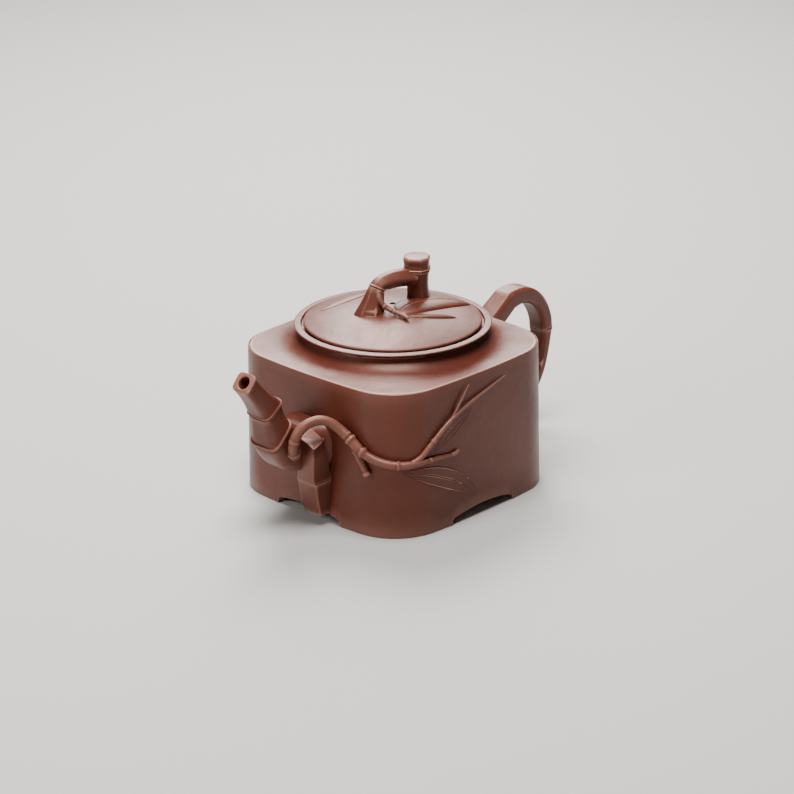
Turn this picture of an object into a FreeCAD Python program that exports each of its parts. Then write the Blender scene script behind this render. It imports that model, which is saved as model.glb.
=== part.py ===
import FreeCAD, Part
import math
import os
import re
import Sketcher
from FreeCAD import Placement, Rotation, Vector

# Square unglazed clay teapot with soft corners, dressed as bamboo.
# Millimetres, +Z up.  The origin is the middle of the plane that the four feet
# stand on, the spout points along -X and the handle along +X.

DIMENSIONS = {
    # body: a rounded square whose sides bulge slightly
    "base_half": 48.95, "edge_half": 48.0, "corner_radius": 22.0, "side_bulge": 342.0,
    "wall": 3.2, "edge_height": 59.4, "mitre": 3.0, "edge_land": 0.3,
    # feet and floor
    "arch_half": 17.5, "arch_end": 3.0, "arch_height": 4.6, "floor_under": 5.2, "floor_thick": 3.4,
    # shoulder and neck
    "neck_base": 36.0, "neck_bore": 33.2, "neck_height": 66.6, "lip_radius": 39.3,
    "lip_under": 67.6, "lip_height": 68.1, "lip_inner": 36.4, "lip_top": 68.6, "seat_height": 67.4,
    # lid
    "lid_radius": 35.5, "lid_apex": 75.6, "lid_sphere": 100.8, "lid_thick": 3.2, "lid_round": 0.5,
    "flange_outer": 32.6, "flange_inner": 30.0, "flange_drop": 6.8, "vent_radius": 1.1, "vent_x": 0.5,
    "lid_turn": -9.0,
    # spout
    "mouth_bore": 2.5, "spout_hole": 8.0, "strainer_radius": 10.5, "strainer_wall": 1.8,
    "strainer_height": 31.6, "strainer_hole": 0.9,
    "node_ridge": 0.35, "node_thick": 0.8,
    # handle and knob
    "handle_width": 10.4, "handle_thick": 7.4, "facet": 1.5,
    # applied twigs and leaves
    "branch_radius": 2.1, "twig_radius": 1.1, "wall_relief": 0.6, "lid_relief": 0.9,
    # the pot's own axis, measured from the middle of its overall length and width
    "axis_x": -4.261, "axis_y": 0.389,
}

doc = FreeCAD.newDocument("BambooTeapot")
sizes = doc.addObject("Spreadsheet::Sheet", "Sizes")
for row, (alias, number) in enumerate(DIMENSIONS.items(), start=1):
    sizes.set(f"A{row}", alias)
    sizes.set(f"B{row}", str(number))
    sizes.setAlias(f"B{row}", alias)
doc.recompute()


def bound(expression):
    """The expression with every sheet alias written as a reference to the sheet."""
    return re.sub(r"[a-z_]+", lambda word: "Sizes." + word[0] if word[0] in DIMENSIONS else word[0],
                  str(expression))


def value(expression):
    """The number that an expression of sheet aliases stands for."""
    return float(sizes.evalExpression(str(expression)))


def bind(item, **properties):
    """Bind properties of a document object to expressions of the sheet."""
    for name, expression in properties.items():
        setattr(item, name, value(expression))
        item.setExpression(name, bound(expression))
    return item


# --- sketches ------------------------------------------------------------------

def constrain(sketch, kind, *where, size=None):
    """Add one constraint, bound to the sheet where it has a size."""
    if size is None:
        return sketch.addConstraint(Sketcher.Constraint(kind, *where))
    index = sketch.addConstraint(Sketcher.Constraint(kind, *where, value(size)))
    sketch.setExpression(f"Constraints[{index}]", bound(size))
    return index


def pin(sketch, edge, end, x, y):
    """Hold one end of a sketch edge at (x, y)."""
    for kind, size, axis in (("DistanceX", x, -2), ("DistanceY", y, -1)):
        if abs(value(size)) < 1e-9:
            constrain(sketch, "PointOnObject", edge, end, axis)
        else:
            constrain(sketch, kind, edge, end, size=size)


def outline(sketch, corners):
    """A closed outline.  A corner is (x, y), or (x, y, radius) where an arc runs on to the next
    corner: a positive radius has its centre on the left of the way round, a negative one right."""
    points = [Vector(value(corner[0]), value(corner[1]), 0) for corner in corners]
    ends = []
    for index, corner in enumerate(corners):
        here, there = points[index], points[(index + 1) % len(points)]
        if len(corner) == 2:
            edge = sketch.addGeometry(Part.LineSegment(here, there), False)
            ends.append((edge, 1, 2))
            continue
        radius = value(corner[2])
        chord = there - here
        left = Vector(-chord.y, chord.x, 0).normalize()
        rise = math.sqrt(max(radius ** 2 - (chord.Length / 2) ** 2, 0.0))
        centre = (here + there) * 0.5 + left * math.copysign(rise, radius)
        first, last = (here, there) if radius > 0 else (there, here)
        angles = [math.atan2(end.y - centre.y, end.x - centre.x) for end in (first, last)]
        circle = Part.Circle(centre, Vector(0, 0, 1), abs(radius))
        edge = sketch.addGeometry(Part.ArcOfCircle(circle, *angles), False)
        ends.append((edge, 1, 2) if radius > 0 else (edge, 2, 1))
    for index, corner in enumerate(corners):
        edge, start, _ = ends[index]
        before, _, finish = ends[index - 1]
        constrain(sketch, "Coincident", before, finish, edge, start)
        pin(sketch, edge, start, corner[0], corner[1])
        if len(corner) == 3:
            radius = corner[2] if value(corner[2]) > 0 else f"-({corner[2]})"
            constrain(sketch, "Radius", edge, size=radius)
    return sketch


def soft_square(sketch, half, corner, bulge):
    """A square of eight tangent arcs: bulging sides of radius bulge, corners of radius corner."""
    half_size, corner_size, side_size = value(half), value(corner), value(bulge)
    inset = side_size - half_size
    reach = (-2 * inset + math.sqrt(4 * inset ** 2
             - 8 * (inset ** 2 - (side_size - corner_size) ** 2))) / 4
    lean = math.atan2(reach, inset + reach)
    sides, corners = [], []
    for turn in range(4):
        middle = turn * math.pi / 2
        centre = Vector(-inset * math.cos(middle), -inset * math.sin(middle), 0)
        circle = Part.Circle(centre, Vector(0, 0, 1), side_size)
        sides.append(sketch.addGeometry(Part.ArcOfCircle(circle, middle - lean, middle + lean), False))
        diagonal = middle + math.pi / 4
        centre = Vector(math.cos(diagonal), math.sin(diagonal), 0) * (reach * math.sqrt(2))
        circle = Part.Circle(centre, Vector(0, 0, 1), corner_size)
        corners.append(sketch.addGeometry(
            Part.ArcOfCircle(circle, middle + lean, middle + math.pi / 2 - lean), False))
    for turn in range(4):
        side, bend, following = sides[turn], corners[turn], sides[(turn + 1) % 4]
        constrain(sketch, "Tangent", side, 2, bend, 1)
        constrain(sketch, "Tangent", bend, 2, following, 1)
        constrain(sketch, "PointOnObject", side, 3, -1 if turn % 2 == 0 else -2)
        sign = -1 if turn < 2 else 1
        kind = "DistanceX" if turn % 2 == 0 else "DistanceY"
        constrain(sketch, kind, side, 3, size=f"{sign} * (({bulge}) - ({half}))")
        constrain(sketch, "Radius", side, size=bulge)
        constrain(sketch, "Radius", bend, size=corner)
    return sketch


def ring_of_arcs(sketch, radius):
    """A circle in eight arcs that match the eight arcs of a soft square."""
    spots = []
    for turn in range(4):
        for offset in (-25, 25):
            angle = math.radians(90 * turn + offset)
            spots.append((f"{radius} * {math.cos(angle):.9f}", f"{radius} * {math.sin(angle):.9f}", radius))
    return outline(sketch, spots)


def free_sketch(name, where=Placement()):
    """A sketch that stands on its own at a placement."""
    sketch = doc.addObject("Sketcher::SketchObject", name)
    sketch.Placement = where
    return sketch


def body_sketch(body, name, role, height=0):
    """A sketch of a body on one of its origin planes, lifted by a height."""
    sketch = body.newObject("Sketcher::SketchObject", name)
    plane = [item for item in body.Origin.OriginFeatures if item.Role == role][0]
    sketch.AttachmentSupport = [(plane, "")]
    sketch.MapMode = "FlatFace"
    if height:
        sketch.AttachmentOffset = Placement(Vector(0, 0, value(height)), Rotation())
        sketch.setExpression("AttachmentOffset.Base.z", bound(height))
    return sketch


# --- solids ----------------------------------------------------------------------

def body(name):
    return doc.addObject("PartDesign::Body", name)


def loft(name, sections, ruled=False):
    """A solid loft through free sections."""
    item = doc.addObject("Part::Loft", name)
    item.Sections = sections
    item.Solid = True
    item.Ruled = ruled
    return item


def cut(name, base, tool):
    item = doc.addObject("Part::Cut", name)
    item.Base = base
    item.Tool = tool
    return item


def common(name, base, tool):
    item = doc.addObject("Part::Common", name)
    item.Base = base
    item.Tool = tool
    return item


def fuse(name, shapes):
    item = doc.addObject("Part::MultiFuse", name)
    item.Shapes = shapes
    return item


def across(place, heading):
    """A placement for a section whose normal is heading; its local Y stays level."""
    normal = Vector(*heading).normalize()
    level = Vector(0, 0, 1).cross(normal)
    if abs(normal.y) < 1e-6:
        level = Vector(0, 1, 0)
    level.normalize()
    return Placement(Vector(*place), Rotation(level.cross(normal), level, normal, "ZYX"))


def round_section(name, place, heading, radius):
    """A circle for a loft."""
    circle = doc.addObject("Part::Circle", name)
    circle.Placement = across(place, heading)
    return bind(circle, Radius=radius)


def tube(name, path, radii):
    """A tapering round rod through the points of a path, one radius each."""
    spots = [Vector(*place) for place in path]
    sections = []
    for index, radius in enumerate(radii):
        heading = spots[min(index + 1, len(spots) - 1)] - spots[max(index - 1, 0)]
        sections.append(round_section(f"{name}_section{index}", path[index], heading, radius))
    return loft(name, sections)


def bamboo_section(name, place, heading, width, depth, bulge=2.2):
    """A squarish section with four softly bulging sides."""
    half_w, half_d = f"({width}) / 2", f"({depth}) / 2"
    corners = [(f"-{half_d}", f"-{half_w}", f"{bulge} * ({depth})"),
               (half_d, f"-{half_w}", f"{bulge} * ({width})"),
               (half_d, half_w, f"{bulge} * ({depth})"),
               (f"-{half_d}", half_w, f"{bulge} * ({width})")]
    return outline(free_sketch(name, across(place, heading)), corners)


def faceted_section(name, place, heading, width, depth, facet):
    """A rectangle with its four corners cut off at 45 degrees."""
    half_w, half_d = f"({width}) / 2", f"({depth}) / 2"
    short_w, short_d = f"(({width}) / 2 - {facet})", f"(({depth}) / 2 - {facet})"
    corners = [(f"-{half_d}", f"-{short_w}"), (f"-{short_d}", f"-{half_w}"),
               (short_d, f"-{half_w}"), (half_d, f"-{short_w}"),
               (half_d, short_w), (short_d, half_w),
               (f"-{short_d}", half_w), (f"-{half_d}", short_w)]
    return outline(free_sketch(name, across(place, heading)), corners)


def leaf_outline(sketch, start, tip, full_side, flat_side):
    """A pointed leaf of two arcs; full_side and flat_side are how far they bow from the chord."""
    chord = math.dist(start, tip)
    radii = [((chord / 2) ** 2 + bow ** 2) / (2 * bow) for bow in (full_side, flat_side)]
    return outline(sketch, [(*start, radii[0]), (*tip, radii[1])])


# --- pot body ----------------------------------------------------------------------

def inner_square(sketch):
    return soft_square(sketch, "edge_half - wall", "corner_radius - wall", "side_bulge - wall")


def make_body_wall():
    wall = body("body_wall")
    foot = soft_square(body_sketch(wall, "FootOutline", "XY_Plane"),
                       "base_half", "corner_radius", "side_bulge")
    edge = soft_square(body_sketch(wall, "EdgeOutline", "XY_Plane", "edge_height"),
                       "edge_half", "corner_radius", "side_bulge")
    skin = wall.newObject("PartDesign::AdditiveLoft", "WallSkin")
    skin.Profile = foot
    skin.Sections = [edge]
    low = inner_square(body_sketch(wall, "MitreLow", "XY_Plane", "edge_height - mitre"))
    high = soft_square(body_sketch(wall, "MitreHigh", "XY_Plane", "edge_height"),
                       "edge_half - edge_land", "corner_radius - edge_land", "side_bulge - edge_land")
    mitre = wall.newObject("PartDesign::SubtractiveLoft", "Mitre")
    mitre.Profile = low
    mitre.Sections = [high]
    hollow = wall.newObject("PartDesign::Pocket", "Hollow")
    hollow.Profile = inner_square(body_sketch(wall, "HollowOutline", "XY_Plane", "edge_height - mitre"))
    hollow.Type = "ThroughAll"
    for name, role in (("Front", "XZ_Plane"), ("Side", "YZ_Plane")):
        arch = body_sketch(wall, name + "ArchOutline", role)
        rise = "(arch_height - arch_end)"
        bow = f"(((arch_half - arch_end) * (arch_half - arch_end)) / (2 * {rise}) + {rise} / 2)"
        outline(arch, [("-arch_half", "-1"), ("arch_half", "-1"), ("arch_half", "0", "arch_end"),
                       ("arch_half - arch_end", "arch_end", bow),
                       ("-(arch_half - arch_end)", "arch_end", "arch_end"), ("-arch_half", "0")])
        pocket = wall.newObject("PartDesign::Pocket", name + "Arches")
        pocket.Profile = arch
        pocket.Type = "ThroughAll"
        pocket.Midplane = True
    hole = body_sketch(wall, "SpoutHoleOutline", "YZ_Plane")
    ring = hole.addGeometry(Part.Circle(Vector(0, value("strainer_height"), 0), Vector(0, 0, 1),
                                        value("spout_hole")), False)
    pin(hole, ring, 3, "0", "strainer_height")
    constrain(hole, "Radius", ring, size="spout_hole")
    pocket = wall.newObject("PartDesign::Pocket", "SpoutHole")
    pocket.Profile = hole
    pocket.Type = "ThroughAll"
    return wall


def make_body_floor():
    floor = body("body_floor")
    pad = floor.newObject("PartDesign::Pad", "Slab")
    pad.Profile = inner_square(body_sketch(floor, "SlabOutline", "XY_Plane", "floor_under"))
    bind(pad, Length="floor_thick")
    return floor


def make_shoulder():
    """The top slab: a dished loft from the soft square up to the round neck."""
    def dished(name, half, corner, bulge, bore, foot, top):
        sections = []
        for step in (0.0, 0.3, 0.6, 0.85):
            sketch = free_sketch(f"{name}_{int(step * 100)}")
            climb = 0.25 * step + 0.75 * step ** 3
            height = f"{foot} + {climb:.4f} * (({top}) - ({foot}))"
            sketch.Placement = Placement(Vector(0, 0, value(height)), Rotation())
            sketch.setExpression("Placement.Base.z", bound(height))
            keep = 1 - step
            soft_square(sketch, f"{keep:.2f} * ({half}) + {step} * {bore}",
                        f"{keep:.2f} * ({corner}) + {step} * {bore}",
                        f"1 / ({keep:.2f} / ({bulge}) + {step} / ({bore}))")
            sections.append(sketch)
        rim = free_sketch(f"{name}_rim")
        rim.Placement = Placement(Vector(0, 0, value(top)), Rotation())
        rim.setExpression("Placement.Base.z", bound(top))
        sections.append(ring_of_arcs(rim, bore))
        return loft(name, sections)

    top = dished("ShoulderTop", "edge_half - edge_land", "corner_radius - edge_land",
                 "side_bulge - edge_land", "neck_base", "edge_height", "neck_height")
    low = free_sketch("ShoulderMitreLow", Placement(Vector(0, 0, value("edge_height - mitre")), Rotation()))
    high = free_sketch("ShoulderMitreHigh", Placement(Vector(0, 0, value("edge_height")), Rotation()))
    inner_square(low)
    soft_square(high, "edge_half - edge_land", "corner_radius - edge_land", "side_bulge - edge_land")
    mitre = loft("ShoulderMitre", [low, high], ruled=True)
    under = dished("ShoulderHollow", "edge_half - wall", "corner_radius - wall", "side_bulge - wall",
                   "neck_bore", "edge_height - mitre", "neck_height - mitre")
    bore = bind(doc.addObject("Part::Cylinder", "NeckBore"), Radius="neck_bore", Height="neck_height")
    return cut("shoulder", fuse("ShoulderSolid", [mitre, top]), fuse("ShoulderVoid", [under, bore]))


def revolved(name, corners):
    """A PartDesign body turned about Z from an outline in the XZ plane."""
    turned = body(name)
    profile = outline(body_sketch(turned, name + "_profile", "XZ_Plane"), corners)
    spin = turned.newObject("PartDesign::Revolution", name + "_turn")
    spin.Profile = profile
    spin.ReferenceAxis = (profile, ["V_Axis"])
    spin.Angle = 360
    return turned


def make_neck_ring():
    return revolved("neck_ring", [
        ("neck_bore", "neck_height"), ("neck_base", "neck_height", "-2.6"),
        ("lip_radius - 0.3", "lip_under"), ("lip_radius", "lip_height - 0.2", "0.5"),
        ("lip_radius - 0.35", "lip_height + 0.1"), ("lip_inner + 0.2", "lip_top"),
        ("lip_inner", "lip_top - 0.2"), ("lip_inner", "seat_height"), ("neck_bore", "seat_height")])


def make_envelope(name, grow):
    """The pot's outer form as one filled solid, grown sideways."""
    foot = free_sketch(name + "Foot")
    edge = free_sketch(name + "Edge", Placement(Vector(0, 0, value("edge_height")), Rotation()))
    soft_square(foot, f"base_half + {grow}", f"corner_radius + {grow}", f"side_bulge + {grow}")
    soft_square(edge, f"edge_half + {grow}", f"corner_radius + {grow}", f"side_bulge + {grow}")
    return loft(name, [foot, edge])


# --- spout -------------------------------------------------------------------------

# Joints of the bamboo spout: centre x and z, lean of the section's normal from +Z towards -X in
# degrees, width along Y, depth across.
SPOUT_ROOT = (-47.0, 31.6, 90.0, 24.0, 21.0)
SPOUT_BELLY = (-60.6, 33.4, 60.0, 16.4, 17.8)
SPOUT_LOWER_NODE = (-67.5, 40.8, 46.8, 15.3, 13.8)
SPOUT_UPPER_NODE = (-70.6, 52.1, 35.9, 12.5, 10.4)
SPOUT_MOUTH = (-81.0, 65.3, 50.4, 8.8, 7.2)


def station(joint, grow=0.0, slide=0.0):
    """Place, heading, width and depth of a spout joint, grown and slid along its normal."""
    x, z, lean, width, depth = joint
    lean = math.radians(lean)
    heading = (-math.sin(lean), 0.0, math.cos(lean))
    place = (x + slide * heading[0], 0.0, z + slide * heading[2])
    return place, heading, width + 2 * grow, depth + 2 * grow


def between(first, second, part, slim):
    """A waisted joint part of the way between two others."""
    mixed = [a + (b - a) * part for a, b in zip(first, second)]
    mixed[3] -= slim
    mixed[4] -= slim
    return tuple(mixed)


def make_spout(envelope):
    ridge, thick = value("node_ridge"), value("node_thick")
    spans = []
    for index, (low, high) in enumerate(((SPOUT_LOWER_NODE, SPOUT_UPPER_NODE),
                                         (SPOUT_UPPER_NODE, SPOUT_MOUTH))):
        waist = between(low, high, 0.55, 1.3)
        finish = 0.0 if index else -0.3
        sections = [bamboo_section(f"Span{index}_low", *station(low, -0.2)),
                    bamboo_section(f"Span{index}_waist", *station(waist)),
                    bamboo_section(f"Span{index}_high", *station(high, finish))]
        spans.append(loft(f"SpoutSpan{index}", sections))
        rim = [bamboo_section(f"Node{index}_low", *station(low, -0.1, 0.1)),
               bamboo_section(f"Node{index}_middle", *station(low, ridge, 0.1 + thick / 2)),
               bamboo_section(f"Node{index}_high", *station(low, 0.0, 0.1 + thick))]
        spans.append(loft(f"SpoutNode{index}", rim, ruled=True))
    root = [bamboo_section("Root_wall", *station(SPOUT_ROOT)),
            bamboo_section("Root_belly", *station(SPOUT_BELLY)),
            bamboo_section("Root_node", *station(SPOUT_LOWER_NODE, -0.2))]
    spans.append(loft("SpoutRootSpan", root))
    bore_stations = ((SPOUT_ROOT, "spout_hole"), (SPOUT_BELLY, "spout_hole * 0.72"),
                     (SPOUT_LOWER_NODE, "mouth_bore * 1.6"), (SPOUT_UPPER_NODE, "mouth_bore * 1.25"),
                     (SPOUT_MOUTH, "mouth_bore"))
    rounds = [round_section(f"Bore{index}", *station(joint)[:2], radius)
              for index, (joint, radius) in enumerate(bore_stations)]
    rounds.append(round_section("BoreExit", *station(SPOUT_MOUTH, slide=2.0)[:2], "mouth_bore"))
    hollow = fuse("SpoutVoid", [loft("SpoutBore", rounds), envelope])
    return cut("spout", fuse("SpoutSolid", spans), hollow)


# Strainer: how far its dome's middle is sunk in the wall, and the lean and count of each ring of holes.
STRAINER_SINK = 0.5
STRAINER_RINGS = ((0, 1), (28, 6), (54, 10))
STRAINER_REACH = (9, 50)


def make_strainer():
    """A pierced dome luted inside the wall behind the spout."""
    centre = Vector(-value("edge_half - wall") - STRAINER_SINK, 0, value("strainer_height"))
    shells = []
    for name, radius in (("StrainerOuter", "strainer_radius"),
                         ("StrainerInner", "strainer_radius - strainer_wall")):
        ball = bind(doc.addObject("Part::Sphere", name), Radius=radius)
        ball.Placement = Placement(centre, Rotation())
        shells.append(ball)
    pot_space = loft("PotSpace", [
        inner_square(free_sketch(f"PotSpace{level}", Placement(Vector(0, 0, level), Rotation())))
        for level in STRAINER_REACH], ruled=True)
    holes = []
    for ring, (lean, count) in enumerate(STRAINER_RINGS):
        for step in range(count):
            drill = bind(doc.addObject("Part::Cylinder", f"Drill{ring}_{step}"),
                         Radius="strainer_hole", Height="strainer_radius * 1.2")
            turn = 360.0 * step / count
            drill.Placement = Placement(centre, Rotation(Vector(1, 0, 0), turn)
                                        * Rotation(Vector(0, 1, 0), 90 - lean))
            holes.append(drill)
    shell = cut("StrainerShell", shells[0], fuse("StrainerVoid", [shells[1]] + holes))
    return common("strainer", shell, pot_space)


# --- applied bamboo on the pot -------------------------------------------------------

# The cut culm beside the spout: x and y of its middle, height, depth and width.
STUMP_LOW = [(-49.4, -7.2, 5.0, 8.4, 9.6), (-50.1, -7.4, 12.0, 10.6, 10.0), (-50.6, -7.9, 19.8, 12.4, 10.4)]
STUMP_HIGH = [(-52.6, -8.3, 19.2, 10.6, 9.6), (-55.2, -10.2, 29.0, 8.2, 8.2), (-56.9, -11.5, 43.0, 5.4, 7.4)]
STUMP_TOP = (-56.9, -11.6, 38.1)
STUMP_SLANT = (20.8, -20.3)
STUMP_EDGE = 0.7
STUMP_WASTE = (30, 40, 20)


def make_stump(envelope, spout_form):
    """A short cut culm beside the spout, with one joint and a slanted top."""
    spans = [loft(name, [faceted_section(f"{name}{index}", (x, y, z), (0, 0, 1), width, depth, STUMP_EDGE)
                         for index, (x, y, z, depth, width) in enumerate(line)])
             for name, line in (("StumpLow", STUMP_LOW), ("StumpHigh", STUMP_HIGH))]
    slope = doc.addObject("Part::Box", "StumpSlant")
    slope.Length, slope.Width, slope.Height = STUMP_WASTE
    tilt = Rotation(Vector(1, 0, 0), STUMP_SLANT[0]) * Rotation(Vector(0, 1, 0), STUMP_SLANT[1])
    middle = Placement(-Vector(slope.Length, slope.Width, 0) / 2, Rotation())
    slope.Placement = Placement(Vector(*STUMP_TOP), tilt) * middle
    trimmed = cut("StumpTrim", fuse("StumpSolid", spans), slope)
    return cut("stump", trimmed, fuse("StumpBed", [envelope, spout_form]))


BRANCH_PATH = [(-63.4, -8.2, 32.6), (-65.6, -10.2, 37.2), (-65.0, -11.0, 40.9), (-63.1, -12.0, 44.1),
               (-59.9, -13.2, 46.0), (-56.3, -15.2, 46.7), (-53.4, -17.9, 45.7), (-51.4, -21.0, 43.2),
               (-50.3, -24.6, 40.4), (-49.6, -28.2, 37.4), (-48.6, -32.2, 34.7), (-46.9, -36.0, 32.9),
               (-44.8, -39.4, 31.8), (-42.2, -42.3, 31.2), (-39.0, -44.9, 31.0), (-35.0, -46.7, 31.2),
               (-30.2, -47.9, 31.2), (-24.1, -48.5, 30.9), (-17.6, -48.7, 30.2)]
BRANCH_TAPER = [1.1, 1.0, 0.97, 0.95, 0.93, 0.92, 0.92, 0.95, 1.0, 0.98, 0.86, 0.84,
                0.82, 0.80, 0.76, 0.64, 0.48, 0.38, 0.30]


def make_branch(envelope, spout):
    branch = tube("BranchRod", BRANCH_PATH, [f"branch_radius * {taper}" for taper in BRANCH_TAPER])
    return cut("branch", branch, fuse("BranchBed", [envelope, spout]))


def make_twig(name, path, radii, beds):
    """A twig bedded on other shapes, each of which is cut away from it in turn."""
    rod = tube(name + "_rod", path, radii)
    for index, bed in enumerate(beds[:-1]):
        rod = cut(f"{name}_trim{index}", rod, bed)
    return cut(name, rod, beds[-1])


# Planes that leaf outlines are drawn on, inside the pot and inside the lid, and how far they are pushed out.
WALL_LEAF_PLANE = -30
LID_LEAF_PLANE = 60
LEAF_PUSH = 30


def make_wall_leaf(name, envelope, skin, start, tip, full_side, flat_side):
    """A low leaf on the front wall, in the XZ plane, as thick as the gap from envelope to skin."""
    sketch = free_sketch(name + "_outline", Placement(Vector(0, WALL_LEAF_PLANE, 0), Rotation(Vector(1, 0, 0), 90)))
    leaf_outline(sketch, start, tip, full_side, flat_side)
    prism = doc.addObject("Part::Extrusion", name + "_prism")
    prism.Base = sketch
    prism.DirMode = "Custom"
    prism.Dir = Vector(0, -1, 0)
    prism.LengthFwd = LEAF_PUSH
    prism.Solid = True
    return cut(name, common(name + "_sheet", prism, skin), envelope)


# --- handle ---------------------------------------------------------------------------

# Centre line of the ear: x, z, and how wide and thick the bamboo is there as a share of full size.
EAR_STEM = [(46.0, 46.6, 1.16, 1.18), (57.0, 53.6, 1.04, 1.13), (67.2, 60.0, 0.98, 1.1)]
EAR_BOW = [(67.2, 60.0, 0.98, 1.1), (72.8, 60.5, 0.98, 0.97), (78.0, 59.2, 0.97, 0.9),
           (82.8, 56.0, 0.96, 0.88), (86.3, 51.4, 0.95, 0.9), (88.3, 46.6, 0.94, 0.9),
           (88.9, 41.6, 0.94, 0.86)]
EAR_TAIL = [(88.8, 41.6, 0.9, 0.78), (88.5, 36.0, 0.87, 0.7), (87.2, 30.0, 0.86, 0.68),
            (84.8, 23.8, 0.88, 0.7), (80.4, 18.2, 0.9, 0.74), (72.2, 14.3, 0.94, 0.8),
            (60.2, 12.8, 1.0, 0.9), (46.0, 12.5, 1.1, 1.04)]
EAR_CREASE = (1.0, 0, 0.42)
DOWN = (0.0, 0, -1.0)


def make_handle(envelope):
    spans = []
    for name, line, first, last in (("EarStem", EAR_STEM, None, EAR_CREASE),
                                    ("EarBow", EAR_BOW, EAR_CREASE, DOWN),
                                    ("EarTail", EAR_TAIL, DOWN, None)):
        sections = []
        for index, (x, z, wide, thick) in enumerate(line):
            before, after = line[max(index - 1, 0)], line[min(index + 1, len(line) - 1)]
            heading = (after[0] - before[0], 0, after[1] - before[1])
            if index == 0 and first:
                heading = first
            if index == len(line) - 1 and last:
                heading = last
            sections.append(faceted_section(f"{name}{index}", (x, 0, z), heading,
                                            f"handle_width * {wide}", f"handle_thick * {thick}", "facet"))
        spans.append(loft(name, sections))
    return cut("handle", fuse("HandleSolid", spans), envelope)


# --- lid --------------------------------------------------------------------------------

def on_dome(radius, under="0"):
    """Height of the lid's top at a distance from the middle, or of a dome that far under it."""
    ball = f"(lid_sphere - {under})"
    return f"lid_apex - lid_sphere + sqrt({ball} * {ball} - ({radius}) * ({radius}))"


def make_lid_plate():
    plate = revolved("lid_plate", [
        ("flange_inner", "seat_height"), ("lid_radius", "seat_height"),
        ("lid_radius", on_dome("lid_radius - lid_round") + " - lid_round", "lid_round"),
        ("lid_radius - lid_round", on_dome("lid_radius - lid_round"), "lid_sphere"),
        ("0", "lid_apex"), ("0", "lid_apex - lid_thick", "-(lid_sphere - lid_thick)"),
        ("flange_inner", on_dome("flange_inner", "lid_thick"))])
    vent = body_sketch(plate, "VentOutline", "XY_Plane", "lid_apex + 1")
    hole = vent.addGeometry(Part.Circle(Vector(value("vent_x"), 0, 0), Vector(0, 0, 1),
                                        value("vent_radius")), False)
    pin(vent, hole, 3, "vent_x", "0")
    constrain(vent, "Radius", hole, size="vent_radius")
    pocket = plate.newObject("PartDesign::Pocket", "Vent")
    pocket.Profile = vent
    pocket.Type = "ThroughAll"
    return plate


def make_lid_flange():
    return revolved("lid_flange", [
        ("flange_inner", "seat_height"), ("flange_inner", "seat_height - flange_drop"),
        ("flange_outer - 0.6", "seat_height - flange_drop"), ("flange_outer", "seat_height - flange_drop + 1.2"),
        ("flange_outer", "seat_height")])


def make_ball(name, grow):
    """The sphere that the lid's top is part of, grown by a height."""
    ball = bind(doc.addObject("Part::Sphere", name), Radius=f"lid_sphere + {grow}")
    ball.Placement.Base = Vector(0, 0, value("lid_apex - lid_sphere"))
    return ball


# Bamboo bridge on the lid: x, z, heading in XZ, width along Y, depth.
KNOB_FOOT = [(-10.9, 71.0, (0.2, 0, 1), 12.6, 12.6), (-9.9, 75.6, (0.2, 0, 1), 10.4, 10.4),
             (-8.7, 80.2, (0.3, 0, 1), 8.0, 8.0), (-7.7, 83.6, (0.5, 0, 0.86), 6.9, 6.9)]
KNOB_ARCH = [(-7.5, 83.8, (0.5, 0, 0.86), 6.7, 6.4), (-4.6, 85.5, (0.9, 0, 0.42), 7.0, 6.0),
             (0.0, 86.3, (1, 0, 0.05), 7.6, 6.0), (8.4, 85.7, (1, 0, -0.08), 8.6, 6.4)]
KNOB_LEG = [(12.9, 71.0, (0, 0, 1), 9.2, 9.2), (12.5, 79.0, (0, 0, 1), 8.4, 8.4),
            (12.2, 84.0, (0, 0, 1), 9.4, 9.4), (12.1, 87.0, (0, 0, 1), 10.3, 10.3)]
KNOB_CULM = [(12.1, 87.0, (0, 0, 1), 11.0, 11.0), (12.1, 89.8, (0, 0, 1), 10.4, 10.4),
             (12.1, 92.1, (0, 0, 1), 10.8, 10.8), (12.1, 92.9, (0, 0, 1), 9.6, 9.6)]
KNOB_NODES = [(-7.6, 83.6, (0.5, 0, 0.86), 6.9), (12.1, 86.8, (0, 0, 1), 11.0)]
KNOB_FACET = 0.33


def make_knob(ball):
    spans = []
    for name, line in (("KnobFoot", KNOB_FOOT), ("KnobArch", KNOB_ARCH),
                       ("KnobLeg", KNOB_LEG), ("KnobCulm", KNOB_CULM)):
        sections = [faceted_section(f"{name}{index}", (x, 0, z), heading, wide, deep, KNOB_FACET * wide)
                    for index, (x, z, heading, wide, deep) in enumerate(line)]
        spans.append(loft(name, sections))
    for index, (x, z, heading, size) in enumerate(KNOB_NODES):
        rim = []
        for level, (slide, grow) in enumerate(((-0.1, 0.0), (0.3, 0.5), (0.7, 0.0))):
            length = math.hypot(heading[0], heading[2])
            place = (x + slide * heading[0] / length, 0, z + slide * heading[2] / length)
            rim.append(faceted_section(f"KnobNode{index}_{level}", place, heading, size + grow,
                                       size + grow, KNOB_FACET * size))
        spans.append(loft(f"KnobNode{index}", rim, ruled=True))
    return cut("knob", fuse("KnobSolid", spans), ball)


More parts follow.
